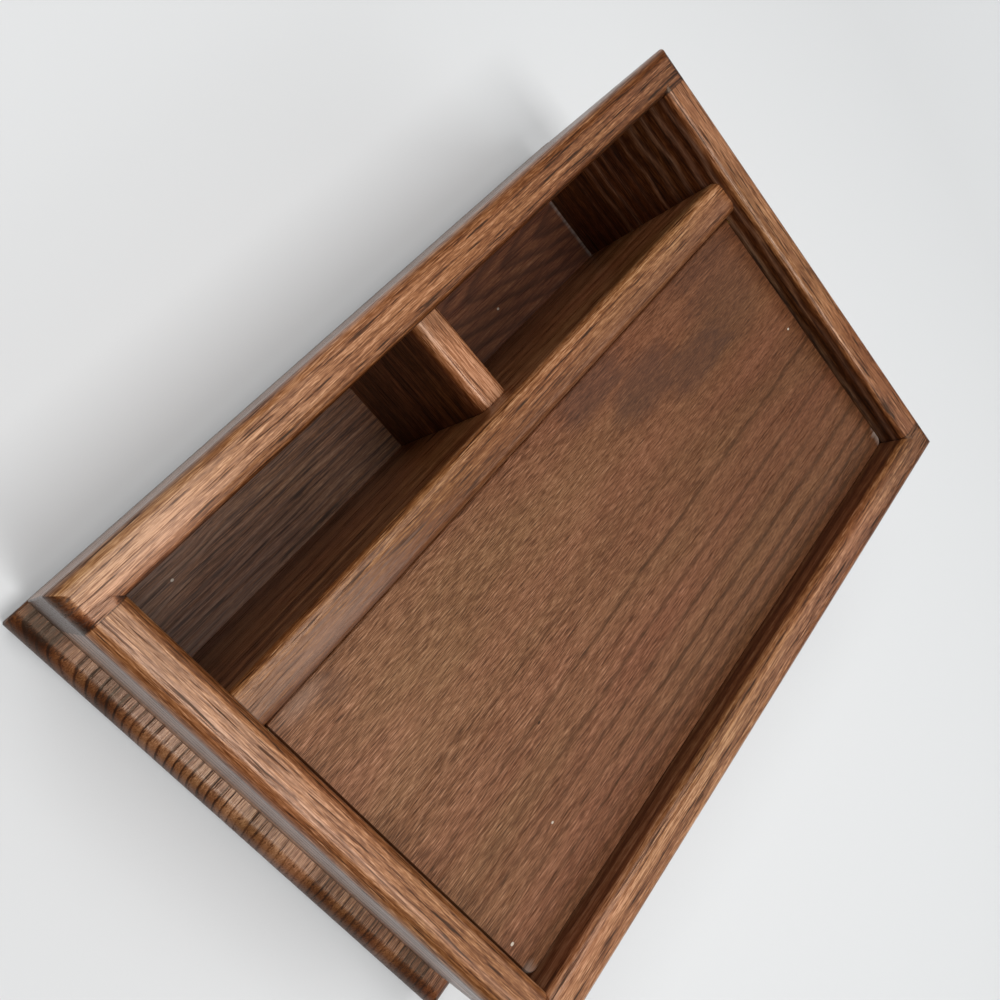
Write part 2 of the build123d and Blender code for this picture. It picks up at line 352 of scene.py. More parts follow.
# %% Oak board
def oak(name, board_name, along="X", heart=(0.0, -0.3), ring=0.0045, wander=0.006, seed=0.0, stops=RAIL_OAK,
        level=0.5, slope=(0.0, 0.0), end=0.30, rings=0.16, pores=0.50, streaks=0.55, dashes=1.15,
        dash_size=(95.0, 1900.0), specks=0.7, blotches=0.3, butt=False, rough=0.34, coat=0.30, gloss=0.5,
        extra=None):
    """A board of stained oak whose grain runs along X or Y.

    heart is the place of the trunk's middle line, seen along the grain, and ring a year's
    width. level is the middle tone. The plural names say how far each pattern moves it,
    slope moves it towards the two ends, and end darkens end grain.
    """
    material = bpy.data.materials.new(name)
    material.use_nodes = True
    tree = material.node_tree
    tree.nodes.clear()
    coords = add(tree, "ShaderNodeTexCoord")
    where = coords.outputs["Object"]
    spot = add(tree, "ShaderNodeSeparateXYZ", {0: where}).outputs
    normal = add(tree, "ShaderNodeSeparateXYZ", {0: coords.outputs["Normal"]}).outputs
    turned = (0.0, 0.0, -math.pi / 2 if along == "Y" else 0.0)
    placed = add(tree, "ShaderNodeMapping", {"Vector": where, "Rotation": turned}).outputs[0]
    shifted = vector(tree, "ADD", placed, (seed * 1.3, seed * 0.7, seed * 0.9))
    radius, year, early = year_rings(tree, placed, shifted, heart, ring, wander)
    fibre, dash, speck, broad, pore = grain(tree, shifted, radius, early, dash_size)

    upward = calc(tree, "ABSOLUTE", normal["Z"])
    figure = fade(tree, upward, 0.3, 0.8, -rings * RING_CONTRAST_UPRIGHT, -rings)
    tone = level
    for pattern, amount in ((fibre, streaks * 2.0), (dash, dashes), (speck, specks), (broad, blotches),
                            (calc(tree, "SUBTRACT", early, EARLY_SHARE), figure), (pore, -pores)):
        tone = calc(tree, "MULTIPLY_ADD", pattern, amount, tone)
    tone = board_ends(tree, tone, spot, normal, board_name, along, level, slope, end, butt)

    parts = {"tree": tree, "where": where, "spot": spot, "shifted": shifted, "fibre": fibre, "dash": dash,
             "broad": broad, "year": year, "tone": tone, "veils": [], "coat": coat, "rough": rough}
    if extra:
        extra(parts)
    warm = ramp(tree, noise(tree, shifted, HUES, 2.0), HUE_DRIFT)
    colour = tint(tree, 1.0, ramp(tree, parts["tone"], stops), warm, "MULTIPLY")
    for share, shade in parts["veils"]:
        colour = tint(tree, share, colour, shade)
    varnish(tree, colour, parts["tone"], fibre, dash, pore, parts["rough"], parts["coat"], gloss)
    return material


# %% [markdown]
# ## Marks, and painted light and shade
# A board's own marks go into its material, since wear and dust have no thickness, and so
# does the light and shade that is painted into the wood. They could be thin pieces of
# their own, but those would stand off the wood. A mark either makes the wood darker or
# lighter, and the grain then shows through it, or lays a thin veil of another colour over
# it, as dust does, and as painted highlight, sheen and shade do.

# %% Marks and finish
def shift_tone(parts, share, amount):
    """Makes the wood lighter or darker by a share of an amount."""
    parts["tone"] = calc(parts["tree"], "MULTIPLY_ADD", share, amount, parts["tone"])


def add_veil(parts, share, strength, shade):
    """Lays a thin film of one colour over the wood."""
    parts["veils"].append((times(parts["tree"], share, strength), shade))


def finish_with(node_name, material):
    """Puts one material on every slot of a piece."""
    mesh = nodes[node_name].data
    mesh.materials.clear()
    mesh.materials.append(material)
    print(node_name, "is finished with", material.name)


# %% [markdown]
# ## The four walls
# The walls are the frame of the box: front and back boards run full length, and the end
# boards stand between them, glued and dowelled. Each board was cut from its own place in
# the trunk, so each call gives its own heart line and seed. The slope makes a board
# lighter towards one end; on the back wall it is painted sheen. Each of the four boards
# carries something of its own, and a small function adds it to the tone before it is
# coloured: painted highlight and shade on the back wall, a painted highlight on the left
# wall's crest, painted shade inside the front wall, and painted shade with pale growth
# stripes on the right wall's bay face.

# %% Walls
FACE_STRIPES = ((50.8, 2.0), (63.8, 2.4), (72.8, 3.0), (81.8, 2.8), (89.8, 3.2), (99.0, 1.8),
                (108.8, 3.4), (118.8, 2.6), (128.8, 3.0), (136.8, 2.4))  # height and half width in mm
# A grey film for the pale growth stripes, and the red of the painted shade inside the front wall.
STRIPE_FILM, PAINTED_RED_SHADE = (0.16, 0.12, 0.10), (0.150, 0.050, 0.026)
# Painted highlight colours: the back wall's left corner and the left wall's crest.
PAINTED_CORNER_HIGHLIGHT, PAINTED_CREST_HIGHLIGHT = (0.60, 0.42, 0.33), (0.60, 0.38, 0.29)


def ribbon_face(parts):
    """The right wall's bay face: painted shade makes it dark, with pale wavy growth stripes that run level.
    """
    tree, spot = parts["tree"], parts["spot"]
    inner = fade(tree, spot["X"], right - board + 0.0002, right - board + 0.001, 1.0, 0.0)
    waved = swing(tree, parts["where"], (1.0, 28.0, 18.0), 1.0)
    height = calc(tree, "MULTIPLY_ADD", waved, 0.009, spot["Z"])
    pale = stripes(tree, height, 0.02, 0.15, [(z / 1000, half / 1000, 1.0) for z, half in FACE_STRIPES])
    pale = times(tree, pale, fade(tree, parts["broad"], -0.10, 0.06, 0.25, 1.0), inner)
    # Painted shade: the whole inner face is darker, inside the bay.
    shift_tone(parts, inner, -0.38)
    shift_tone(parts, pale, 0.55)
    add_veil(parts, pale, 0.40, STRIPE_FILM)


def corner_highlight_and_edge_shade(parts):
    """Painted highlight near the rim's left rear corner, and painted shade on the back wall's inner rounded
    edge.
    """
    tree, spot = parts["tree"], parts["spot"]
    upper = fade(tree, spot["Z"], rim - 0.012, rim - 0.006)
    inner_face = back - board
    # Painted shade: the inner rounded edge is darker, the rest of the top a touch lighter.
    shift_tone(parts, upper, fade(tree, spot["Y"], inner_face + 0.0015, inner_face + 0.0065, -0.20, 0.03))
    # Painted highlight: a pale patch near the left end of the rim.
    highlight_patch = patch(tree, parts["where"], (left + 0.040, back - 0.010, rim), (0.044, 0.014, 0.006), 0.8,
                   times(tree, parts["fibre"], 1.5))
    shift_tone(parts, highlight_patch, 0.16)
    add_veil(parts, highlight_patch, 0.14, PAINTED_CORNER_HIGHLIGHT)


def painted_crest_highlight(parts):
    """A pale line along the outer crest of the left wall: painted highlight."""
    tree, spot = parts["tree"], parts["spot"]
    # Painted highlight along the crest, broken by the fibres.
    crest = stripes(tree, spot["X"], left, left + board, [(left + 0.0072, 0.0019, 1.0)])
    crest = times(tree, crest, fade(tree, parts["fibre"], -0.12, 0.10, 0.2, 1.0),
                  fade(tree, spot["Z"], rim - 0.003, rim - 0.001))
    shift_tone(parts, crest, 0.22)
    add_veil(parts, crest, 0.34, PAINTED_CREST_HIGHLIGHT)


def shaded_inside(parts):
    """The front wall's inner face is darker and redder than its rim: painted shade."""
    tree, spot = parts["tree"], parts["spot"]
    below = fade(tree, spot["Z"], rim - 0.008, rim - 0.002, 1.0, 0.0)
    inner_face = front + board
    inside = times(tree, below, fade(tree, spot["Y"], inner_face - 0.006, inner_face - 0.001))
    # Painted shade on the inner face.
    shift_tone(parts, inside, -0.08)
    add_veil(parts, inside, 0.48, PAINTED_RED_SHADE)


# Painted sheen: the slope makes the back wall lighter at its left end and darker at its right.
finish_with("back_wall", oak("oak_back_wall", "back_wall", "X", (-0.35, 0.0), seed=1.0, level=0.62,
                             slope=(0.10, -0.13), end=0.52, streaks=0.42, extra=corner_highlight_and_edge_shade))
finish_with("front_wall", oak("oak_front_wall", "front_wall", "X", (0.10, -0.15), ring=0.006, seed=2.0,
                              level=0.46, slope=(0.30, 0.0), extra=shaded_inside))
finish_with("left_end_wall", oak("oak_left_end_wall", "left_end_wall", "Y", (0.60, 0.0), seed=3.0, level=0.62,
                                 pores=0.48, streaks=0.42, butt=True, extra=painted_crest_highlight))
finish_with("right_end_wall", oak("oak_right_end_wall", "right_end_wall", "Y", (-0.18, -0.50), ring=0.0088,
                                  seed=4.0, level=0.575, slope=(0.0, 0.13), rings=0.05, butt=True,
                                  extra=ribbon_face))

# %% [markdown]
# ## Partition and pen divider
# The partition carries the lid's hidden pins and closes off the pen bays; the divider
# halves them. The divider's top and the far edge of the partition's are paler than the
# faces, as painted highlight, and beside the lid the partition is darker and browner, as
# dull as the lid is. A grey painted sheen lies at its left end. The marks could be
# separate thin pieces, but they have no thickness, so they stay in the material.

# %% Partition and divider
# The brown beside the lid, and the grey of the painted sheen at the partition's left end.
LID_BROWN, PAINTED_GREY_SHEEN = (0.115, 0.044, 0.022), (0.36, 0.23, 0.18)
SHEEN_PLACE, SHEEN_REACH = (-0.135, 0.066), (0.060, 0.010)


def painted_divider_highlight(parts):
    """The divider's rounded top is paler than its faces: painted highlight."""
    top = divider_high.z
    shift_tone(parts, fade(parts["tree"], parts["spot"]["Z"], top - 0.005, top - 0.001), 0.50)


def partition_top_painted_light(parts):
    """The partition's top: darker and browner beside the lid, painted highlight along its far edge, and a
    painted grey sheen at its left end.
    """
    tree, spot = parts["tree"], parts["spot"]
    top, near_lid, far_edge = partition_high.z, partition_low.y, partition_high.y
    upper = fade(tree, spot["Z"], top - 0.005, top - 0.002)
    dull = times(tree, upper, fade(tree, spot["Y"], near_lid + 0.006, near_lid + 0.014, 1.0, 0.0))
    edge = times(tree, upper, fade(tree, spot["Y"], far_edge - 0.006, far_edge - 0.003))
    shift_tone(parts, dull, -0.05)
    # Painted highlight along the far edge.
    shift_tone(parts, edge, 0.14)
    add_veil(parts, dull, fade(tree, parts["fibre"], -0.12, 0.12, 0.15, 0.55), LID_BROWN)
    # Painted sheen: a grey film at the left end.
    ragged = times(tree, calc(tree, "ADD", parts["fibre"], parts["dash"]), 2.2)
    sheen_patch = patch(tree, parts["where"], (*SHEEN_PLACE, top), (*SHEEN_REACH, 0.01), 0.9, ragged)
    add_veil(parts, sheen_patch, 0.32, PAINTED_GREY_SHEEN)


finish_with("partition", oak("oak_partition", "partition", "X", (0.45, 0.0), seed=5.0, level=0.44,
                             slope=(0.05, 0.21), rings=0.07, butt=True, extra=partition_top_painted_light))
finish_with("pen_divider", oak("oak_divider", "pen_divider", "Y", (0.35, 0.0), seed=6.0, level=0.37,
                               streaks=0.75, rings=0.06, butt=True, extra=painted_divider_highlight))

# %% [markdown]
# ## Base board
# The base is one wide board under everything. Its rim is varnished and its edge is
# rounded, so the growth lines run over it in short arches. Its middle is the floor of
# the pen bays: dull, painted darker as shade, with a grey film that is partly dust and
# partly painted sheen, and redder in the right bay, where a flame of narrow arches shows.
# One material does both, told apart by the place on the board. Two materials would need
# faces to be chosen by hand, and a new face would miss. The rim and the floor are worked
# out first, as two shares that add up to one.

# %% Base board colours and figure
YEAR_END_LINE = grey([(0.0, 1.0), (0.1, 0.9), (0.2, 0.0), (0.92, 0.0), (1.0, 1.0)])
FLAME_BAND = grey([(0.0, 1.0), (0.45, 0.0), (0.80, 0.0), (1.0, 1.0)])
FLAME_MIDDLE, FLAME_SLOPE, FLAME_STEP, FLAME_NOSE = back - 0.038, 4.5, 0.036, 0.0025
# The underside's red is painted shade; the flame's dark is grain.
PAINTED_UNDERSIDE_SHADE, BAY_RED, FLAME_DARK = (0.070, 0.024, 0.013), (0.120, 0.033, 0.018), (0.020, 0.006, 0.004)
# The floor's film is partly dust and partly painted sheen.
DUST_AND_SHEEN, GLUE, CRUMB = (0.128, 0.092, 0.082), (0.24, 0.21, 0.19), (0.50, 0.45, 0.38)
FLOOR_CRUMBS = ((-0.148, 0.111), (0.097, 0.095))


def rim_or_floor(parts):
    """Two shares: the rim outside the walls, and the floor inside them."""
    tree, spot = parts["tree"], parts["spot"]
    across = fade(tree, calc(tree, "ABSOLUTE", spot["X"]), right - board, right - board + 0.001)
    ahead = fade(tree, spot["Y"], front + board - 0.001, front + board, 1.0, 0.0)
    upper = fade(tree, spot["Z"], floor_level - 0.002, floor_level - 0.001)
    inside = times(tree, calc(tree, "SUBTRACT", 1.0, calc(tree, "MAXIMUM", across, ahead)), upper)
    return calc(tree, "SUBTRACT", 1.0, inside), inside


print("floor level:", round(floor_level, 4), "flame arches every", FLAME_STEP, "m")

# %% [markdown]
# ## The rim of the base
# Where the rounded edge cuts through the growth rings, their dark ends show as a row of
# short arches. They come from the rings themselves, so they bend over the edge as real
# ones do, and a slow noise breaks the row up. The rim also carries painted light and
# shade: light patches for the highlight on the rounded edge, a darker and redder
# underside that faces down, darker ends towards the front and the back, and a dark spot
# in the back left corner.

# %% Base rim
def rim_figure(parts, outside):
    """Broken growth lines, patches that are partly painted highlight, and painted shade on the varnished rim.
    """
    tree, spot = parts["tree"], parts["spot"]
    zone = noise(tree, parts["shifted"], (20.0, 38.0, 20.0), 2.0)
    line = times(tree, ramp(tree, parts["year"], YEAR_END_LINE), fade(tree, zone, 0.40, 0.55, 0.35, 1.0),
                 fade(tree, spot["Y"], -0.09, 0.0, 0.55, 1.0),
                 calc(tree, "MULTIPLY_ADD", outside, 0.38, 0.24))
    shift_tone(parts, line, -1.0)
    # Light and dark patches a hand's width apart; the light ones are painted highlight on the rounded edge.
    sheen_swell = noise(tree, parts["where"], (10.0, 30.0, 10.0), 1.0)
    shift_tone(parts, outside, fade(tree, sheen_swell, 0.40, 0.62, -0.16, 0.14))
    shift_tone(parts, calc(tree, "SUBTRACT", zone, 0.5), calc(tree, "MULTIPLY_ADD", outside, -0.9, 0.2))
    # Painted shade: the underside, which faces down, is darker and redder.
    shaded_underside = fade(tree, spot["Z"], floor_level - 0.007, floor_level - 0.0006, 1.0, 0.0)
    shift_tone(parts, shaded_underside, -0.34)
    add_veil(parts, shaded_underside, 0.51, PAINTED_UNDERSIDE_SHADE)
    # Painted shade: the back end is darker, and its coat thinner.
    shaded_rear_end = times(tree, fade(tree, spot["Y"], 0.10, 0.135), outside)
    shift_tone(parts, shaded_rear_end, -0.26)
    # Painted shade: the rim darkens towards the front, where it shows less sheen.
    shift_tone(parts, outside, fade(tree, spot["Y"], -0.10, 0.02, -0.22, 0.0))
    # Painted shade: a dark spot in the back left corner.
    corner_shade = patch(tree, parts["where"], (base_low.x + 0.012, base_high.y - 0.012, floor_level),
                  (0.015, 0.018, 0.008))
    shift_tone(parts, corner_shade, -0.42)
    coat = calc(tree, "MULTIPLY_ADD", outside, 0.30, 0.05)
    parts["coat"] = calc(tree, "MULTIPLY_ADD", shaded_rear_end, -0.25, coat)
    parts["rough"] = calc(tree, "MULTIPLY_ADD", outside, -0.22, 0.6)


# %% [markdown]
# ## The floor of the bays
# The floor is painted darker, as painted shade in the bays, and a grey film lies between
# raised fibres, so the fibres steer it; the film is partly dust and partly painted sheen.
# The flame is a stack of pointed arches, as a board shows where it was sawn close to the
# heart. Arches from true rings would need a heart line inside this board alone, so they
# are drawn from a bent coordinate instead.

# %% Bay floors
def bay_shade_dust_and_sheen(parts, inside):
    """Painted shade on the floor, deeper grain, and a film that is partly dust and partly painted sheen,
    thickest in the left bay.
    """
    tree, spot = parts["tree"], parts["spot"]
    # Painted shade: the whole floor is darker inside the bays.
    shift_tone(parts, inside, -0.18)
    shift_tone(parts, parts["dash"], times(tree, inside, -0.2))
    shift_tone(parts, parts["fibre"], times(tree, inside, fade(tree, spot["X"], -0.008, 0.0, 1.0, 0.25)))
    dust_and_sheen = times(tree, fade(tree, parts["broad"], -0.3, 0.3, 0.28, 0.58),
                  fade(tree, spot["X"], -0.02, 0.0, 1.0, 0.35), fade(tree, spot["X"], -0.18, -0.07, 1.7, 1.0),
                  fade(tree, parts["fibre"], -0.13, 0.13, 0.45, 1.25))
    add_veil(parts, dust_and_sheen, inside, DUST_AND_SHEEN)


def bay_flame(parts, right_bay):
    """A flame of pointed growth arches in the right bay, and dried glue along its end joint."""
    tree, spot = parts["tree"], parts["spot"]
    swirl = swing(tree, parts["where"], (22.0, 40.0, 22.0), 2.0)
    off_middle = calc(tree, "SUBTRACT", spot["Y"], FLAME_MIDDLE)
    rounded = calc(tree, "SQRT", calc(tree, "MULTIPLY_ADD", off_middle, off_middle, FLAME_NOSE ** 2))
    arch = calc(tree, "MULTIPLY_ADD", swirl, 0.030, spot["X"])
    arch = calc(tree, "MULTIPLY_ADD", rounded, -FLAME_SLOPE, arch)
    band = ramp(tree, calc(tree, "FRACT", calc(tree, "DIVIDE", arch, FLAME_STEP)), FLAME_BAND)
    flame = times(tree, band, right_bay, fade(tree, spot["X"], 0.01, 0.05, 0.4, 1.0))
    add_veil(parts, right_bay, 0.45, BAY_RED)
    shift_tone(parts, flame, -0.30)
    add_veil(parts, flame, 0.35, FLAME_DARK)
    near_end = fade(tree, spot["X"], right - board - 0.0030, right - board - 0.0012)
    glue = times(tree, near_end, right_bay)
    add_veil(parts, glue, fade(tree, parts["fibre"], -0.15, 0.15, 0.2, 0.75), GLUE)


# %% Base board
def base_marks_and_painted_light(parts):
    """A varnished rim with broken growth lines, and dull bay floors, both with painted light and shade."""
    tree = parts["tree"]
    outside, inside = rim_or_floor(parts)
    right_bay = times(tree, inside, fade(tree, parts["spot"]["X"], -0.008, 0.0))
    rim_figure(parts, outside)
    bay_shade_dust_and_sheen(parts, inside)
    bay_flame(parts, right_bay)
    for place in FLOOR_CRUMBS:
        crumb = patch(tree, parts["where"], (*place, floor_level), (0.0011, 0.0008, 0.01), 0.4)
        parts["veils"].append((crumb, CRUMB))


finish_with("base_board", oak("oak_base_board", "base_board", "X", (0.20, -0.08), ring=0.0046, wander=0.012,
                              seed=7.0, level=0.70, end=0.0, rings=0.1, streaks=0.42, extra=base_marks_and_painted_light))

# %% [markdown]
# ## Lid and ledgers
# The lid is a thinner board of calmer wood in a cooler brown, with less varnish. Its
# grain is a mass of fine, short strokes. What gives it its face are the few dark
# growth lines along the front edge, set closer and closer, a dark stain near the pen
# bays, one small knot, and darker edges. It is also painted lighter at its left end, a
# painted sheen. The ledgers under it are plain strips, stained with the same brush.

# %% Lid marks and colours
GROWTH_LINES = ((-101, 1.8, 0.9), (-94, 1.6, 1.0), (-87, 1.7, 1.0), (-77, 1.8, 1.0), (-65.5, 1.9, 0.8),
                (-52, 1.8, 0.9), (-31, 1.6, 1.0), (-9, 1.4, 0.4))  # y and half width in mm, strength
STAINS = (((0.036, 0.050), (0.034, 0.013), 0.16), ((0.062, 0.032), (0.034, 0.017), 0.16),
          ((0.100, 0.018), (0.036, 0.013), 0.13), ((0.145, 0.034), (0.040, 0.030), 0.08),
          ((-0.150, 0.046), (0.012, 0.010), 0.12))  # middle, reach, depth
KNOT = (-0.0975, -0.0356)
CRUMBS = (((-0.1245, -0.0706), 0.0006), ((-0.1735, -0.0886), 0.0008), ((0.1675, -0.0126), 0.0007))
DUSTY_CORNERS = (((-0.163, 0.053), (0.018, 0.007), 0.25), ((-0.177, -0.103), (0.005, 0.004), 0.4),
                 ((0.177, -0.102), (0.005, 0.009), 0.8))
LINE_BROWN, STAIN_BROWN = (0.060, 0.023, 0.007), (0.085, 0.044, 0.034)
PALE_CRUMB, CORNER_DUST = (0.50, 0.44, 0.36), (0.26, 0.21, 0.18)
print("growth lines:", len(GROWTH_LINES), "stains:", len(STAINS), "crumbs:", len(CRUMBS))

# %% Lid growth lines
def lid_growth(parts):
    """Thin leaning growth lines near the front, and calmer grain round them."""
    tree, where, spot = parts["tree"], parts["where"], parts["spot"]
    wave = swing(tree, where, (7.0, 7.0, 7.0))
    ripple = swing(tree, where, (70.0, 160.0, 160.0))
    across = calc(tree, "MULTIPLY_ADD", wave, 0.005, calc(tree, "MULTIPLY_ADD", ripple, 0.0022, spot["Y"]))
    leaning = fade(tree, spot["Y"], -0.090, -0.030, 0.0, -0.033)
    across = calc(tree, "MULTIPLY_ADD", spot["X"], leaning, across)
    marks = [(y / 1000, half / 1000, strength) for y, half, strength in GROWTH_LINES]
    grown = times(tree, stripes(tree, across, lid_low.y, 0.0, marks),
                  fade(tree, noise(tree, where, (30.0, 60.0, 60.0), 2.0), 0.32, 0.55, 0.45, 1.0),
                  fade(tree, spot["X"], -0.17, -0.02, 0.45, 1.0))
    shift_tone(parts, grown, -0.28)
    add_veil(parts, grown, 0.50, LINE_BROWN)
    calm = calc(tree, "ADD", fade(tree, spot["X"], -0.06, 0.10, 0.0, -1.3),
                fade(tree, spot["Y"], -0.09, -0.03, -0.6, 0.0))
    shift_tone(parts, parts["dash"], calm)


# %% [markdown]
# ## Marks on the lid
# The lid is darker towards its front edge and both sides.
# The stains are ovals with ragged edges, laid over each other to make one large one.
# They could be one noise pattern, but then they would not stay where they belong.

# %% Lid
def lid_darker_edges(parts):
    """Darkens the lid towards its front edge and both sides."""
    tree, spot = parts["tree"], parts["spot"]
    from_side = calc(tree, "SUBTRACT", (lid_high.x - lid_low.x) / 2, calc(tree, "ABSOLUTE", spot["X"]))
    from_front = calc(tree, "SUBTRACT", spot["Y"], lid_low.y)
    darker_edges = calc(tree, "MAXIMUM", fade(tree, from_side, 0.0, 0.012, 1.0, 0.0),
                  fade(tree, from_front, 0.0, 0.020, 1.0, 0.0))
    shift_tone(parts, times(tree, darker_edges, fade(tree, parts["broad"], -0.2, 0.2, 0.6, 1.0)), -0.19)


def lid_marks(parts):
    """Growth lines, darker edges, a dark stain, one knot, crumbs and dust."""
    tree, where, top = parts["tree"], parts["where"], lid_high.z
    lid_growth(parts)
    lid_darker_edges(parts)
    ragged = times(tree, parts["fibre"], 1.6)
    for centre, reach, depth in STAINS:
        mark = patch(tree, where, (*centre, top), (*reach, 0.02), 0.45, ragged)
        shift_tone(parts, mark, -depth)
        add_veil(parts, mark, depth * 1.7, STAIN_BROWN)
    shift_tone(parts, patch(tree, where, (*KNOT, top), (0.0011, 0.0009, 0.01), 0.5), -0.6)
    for centre, size in CRUMBS:
        parts["veils"].append((patch(tree, where, (*centre, top), (size * 1.4, size, 0.01), 0.4), PALE_CRUMB))
    for centre, reach, share in DUSTY_CORNERS:
        add_veil(parts, patch(tree, where, (*centre, top), (*reach, 0.02), 0.9, ragged), share, CORNER_DUST)


# Painted sheen: the slope makes the lid lighter at its left end.
finish_with("lid_panel", oak("oak_lid_panel", "lid_panel", "X", (0.02, -0.06), ring=0.006, seed=8.0,
                             stops=LID_OAK, level=0.52, slope=(0.11, 0.0), rings=0.02, pores=0.15,
                             streaks=0.16, dashes=2.1, dash_size=(130.0, 4000.0), specks=0.7,
                             blotches=0.10, rough=0.45, coat=0.03, gloss=0.35, extra=lid_marks))
for name in ("lid_ledger_left", "lid_ledger_right", "lid_ledger_front"):
    finish_with(name, oak("oak_" + name, name, "X" if name.endswith("front") else "Y", seed=9.0))

# %% [markdown]
# ## Dowels, pins and feet
# These pieces sit inside joints or under the box. Beech dowels are pale and close
# grained, the pins are brass rod, and the feet are pressed felt. None of them has a
# figure worth carving, so one recipe serves them all: two noises of different size mix
# two shades, shift the gloss and raise a fine surface.

# %% Plain finishes
EVEN = (1.0, 1.0, 1.0)
DRAWN_OUT = (1.0, 1.0, 0.3)


def plain_finish(name, shades, size, grain, rough, metal=0.0, dent=0.0002, level=0.5):
    """A finish without wood figure: mottled colour, uneven gloss and a fine surface texture."""
    material = bpy.data.materials.new(name)
    material.use_nodes = True
    tree = material.node_tree
    tree.nodes.clear()
    where = add(tree, "ShaderNodeTexCoord").outputs["Object"]
    mottle = noise(tree, where, tuple(v / size for v in grain), 4.0, 0.6)
    fine = noise(tree, where, tuple(v * 5 / size for v in grain), 3.0, 0.6)
    both = calc(tree, "MULTIPLY_ADD", fine, 0.5, times(tree, mottle, 0.5))
    colour = ramp(tree, both, [(0.35, shades[0]), (0.65, shades[1])])
    bump = add(tree, "ShaderNodeBump", {"Height": both, "Strength": 0.5, "Distance": dent})
    shader = add(tree, "ShaderNodeBsdfPrincipled", {
        "Base Color": colour, "Roughness": fade(tree, mottle, 0.3, 0.7, rough - 0.08, rough + 0.08),
        "Metallic": metal, "Specular IOR Level": level, "Normal": bump.outputs[0]})
    add(tree, "ShaderNodeOutputMaterial", {"Surface": shader.outputs[0]})
    return material


beech = plain_finish("beech_dowel", ((0.42, 0.25, 0.13), (0.60, 0.40, 0.24)), 0.004, DRAWN_OUT, 0.6)
brass = plain_finish("brass_rod", ((0.48, 0.32, 0.11), (0.72, 0.52, 0.22)), 0.003, EVEN, 0.32,
                     metal=1.0, dent=0.00005)
steel = plain_finish("zinc_steel", ((0.42, 0.41, 0.38), (0.62, 0.61, 0.58)), 0.002, EVEN, 0.36,
                     metal=1.0, dent=0.00005)
felt = plain_finish("dark_felt", ((0.030, 0.024, 0.020), (0.085, 0.072, 0.062)), 0.0016, EVEN, 0.95,
                    dent=0.0004, level=0.1)
for name in ("corner_dowels", "partition_dowels", "divider_dowels"):
    finish_with(name, beech)
for name in ("lid_pivot_pin_left", "lid_pivot_pin_right"):
    finish_with(name, brass)
for name in nodes:
    if name.startswith("foot_pad"):
        finish_with(name, felt)

# %% [markdown]
# ## Wood screws
# Four countersunk screws come up through the base into the walls. The construction
# model has only their envelope: a head and a plain shank. Here the real shape is made
# once: a cone for the head, a core that tapers to a point, a cross for the driver cut
# out of the head, and a thread. The thread could be a stack of rings, but a real one
# climbs, so a small triangle is swept round the core by the Screw modifier. Place and
# length are read from the envelope, so that each screw fits the hole that waits for it.

# %% Screw sizes
screws_low, screws_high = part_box("base_screws")
head_radius, head_height = 0.0042, 0.0032
core_radius, point_length, point_share = 0.0015, 0.005, 0.12
cross_length, cross_width, cross_depth, cross_narrowing = 0.0044, 0.0010, 0.0022, 0.3
thread_size, thread_lift, pitch = 0.0005, 0.0001, 0.0018
bare_neck, bare_length = 0.004, 0.011
first = Vector((screws_low.x + head_radius, screws_low.y + head_radius, screws_low.z))
shank_length = screws_high.z - screws_low.z - head_height
turns = int((shank_length - bare_length) / pitch)
print("screw length:", round(head_height + shank_length, 4), "thread turns:", turns)

# %% Screw tools
def pick(active, *others):
    """Selects objects and makes the first one active."""
    bpy.ops.object.select_all(action="DESELECT")
    for obj in (active, *others):
        obj.select_set(True)
    bpy.context.view_layer.objects.active = active


def use_modifier(obj, kind, **settings):
    """Adds a modifier to an object, sets it and applies it."""
    pick(obj)
    modifier = obj.modifiers.new(kind.lower(), kind)
    for key, value in settings.items():
        setattr(modifier, key, value)
    bpy.ops.object.modifier_apply(modifier=modifier.name)


def cross_bar(turn):
    """One bar of the driver's cross, narrower towards its tip."""
    bpy.ops.object.select_all(action="DESELECT")
    bpy.ops.mesh.primitive_cube_add(size=1.0, location=first)
    bar = bpy.context.object
    bpy.ops.object.mode_set(mode="EDIT")
    bpy.ops.mesh.select_all(action="SELECT")
    bpy.ops.transform.resize(value=(cross_length, cross_width, cross_depth * 2), center_override=first)
    bpy.ops.transform.rotate(value=turn, orient_axis="Z", center_override=first)
    bpy.ops.mesh.select_all(action="DESELECT")
    bpy.ops.object.mode_set(mode="OBJECT")
    for polygon in bar.data.polygons:
        polygon.select = polygon.normal.z > 0.9
    bpy.ops.object.mode_set(mode="EDIT")
    bpy.ops.mesh.select_mode(type="FACE")
    bpy.ops.transform.resize(value=(cross_narrowing, cross_narrowing, 1), center_override=first)
    bpy.ops.object.mode_set(mode="OBJECT")
    return bar


# %% [markdown]
# ## One screw, and then four
# The head and core are one disc, extruded three times: up the cone, along the core and
# into the point. Two narrowing bars cut the cross out of the head. A screw head could
# be left flat, but from below the cross is what tells it apart from a nail. When one
# screw is done, three copies with their own mesh are moved to the other corners.

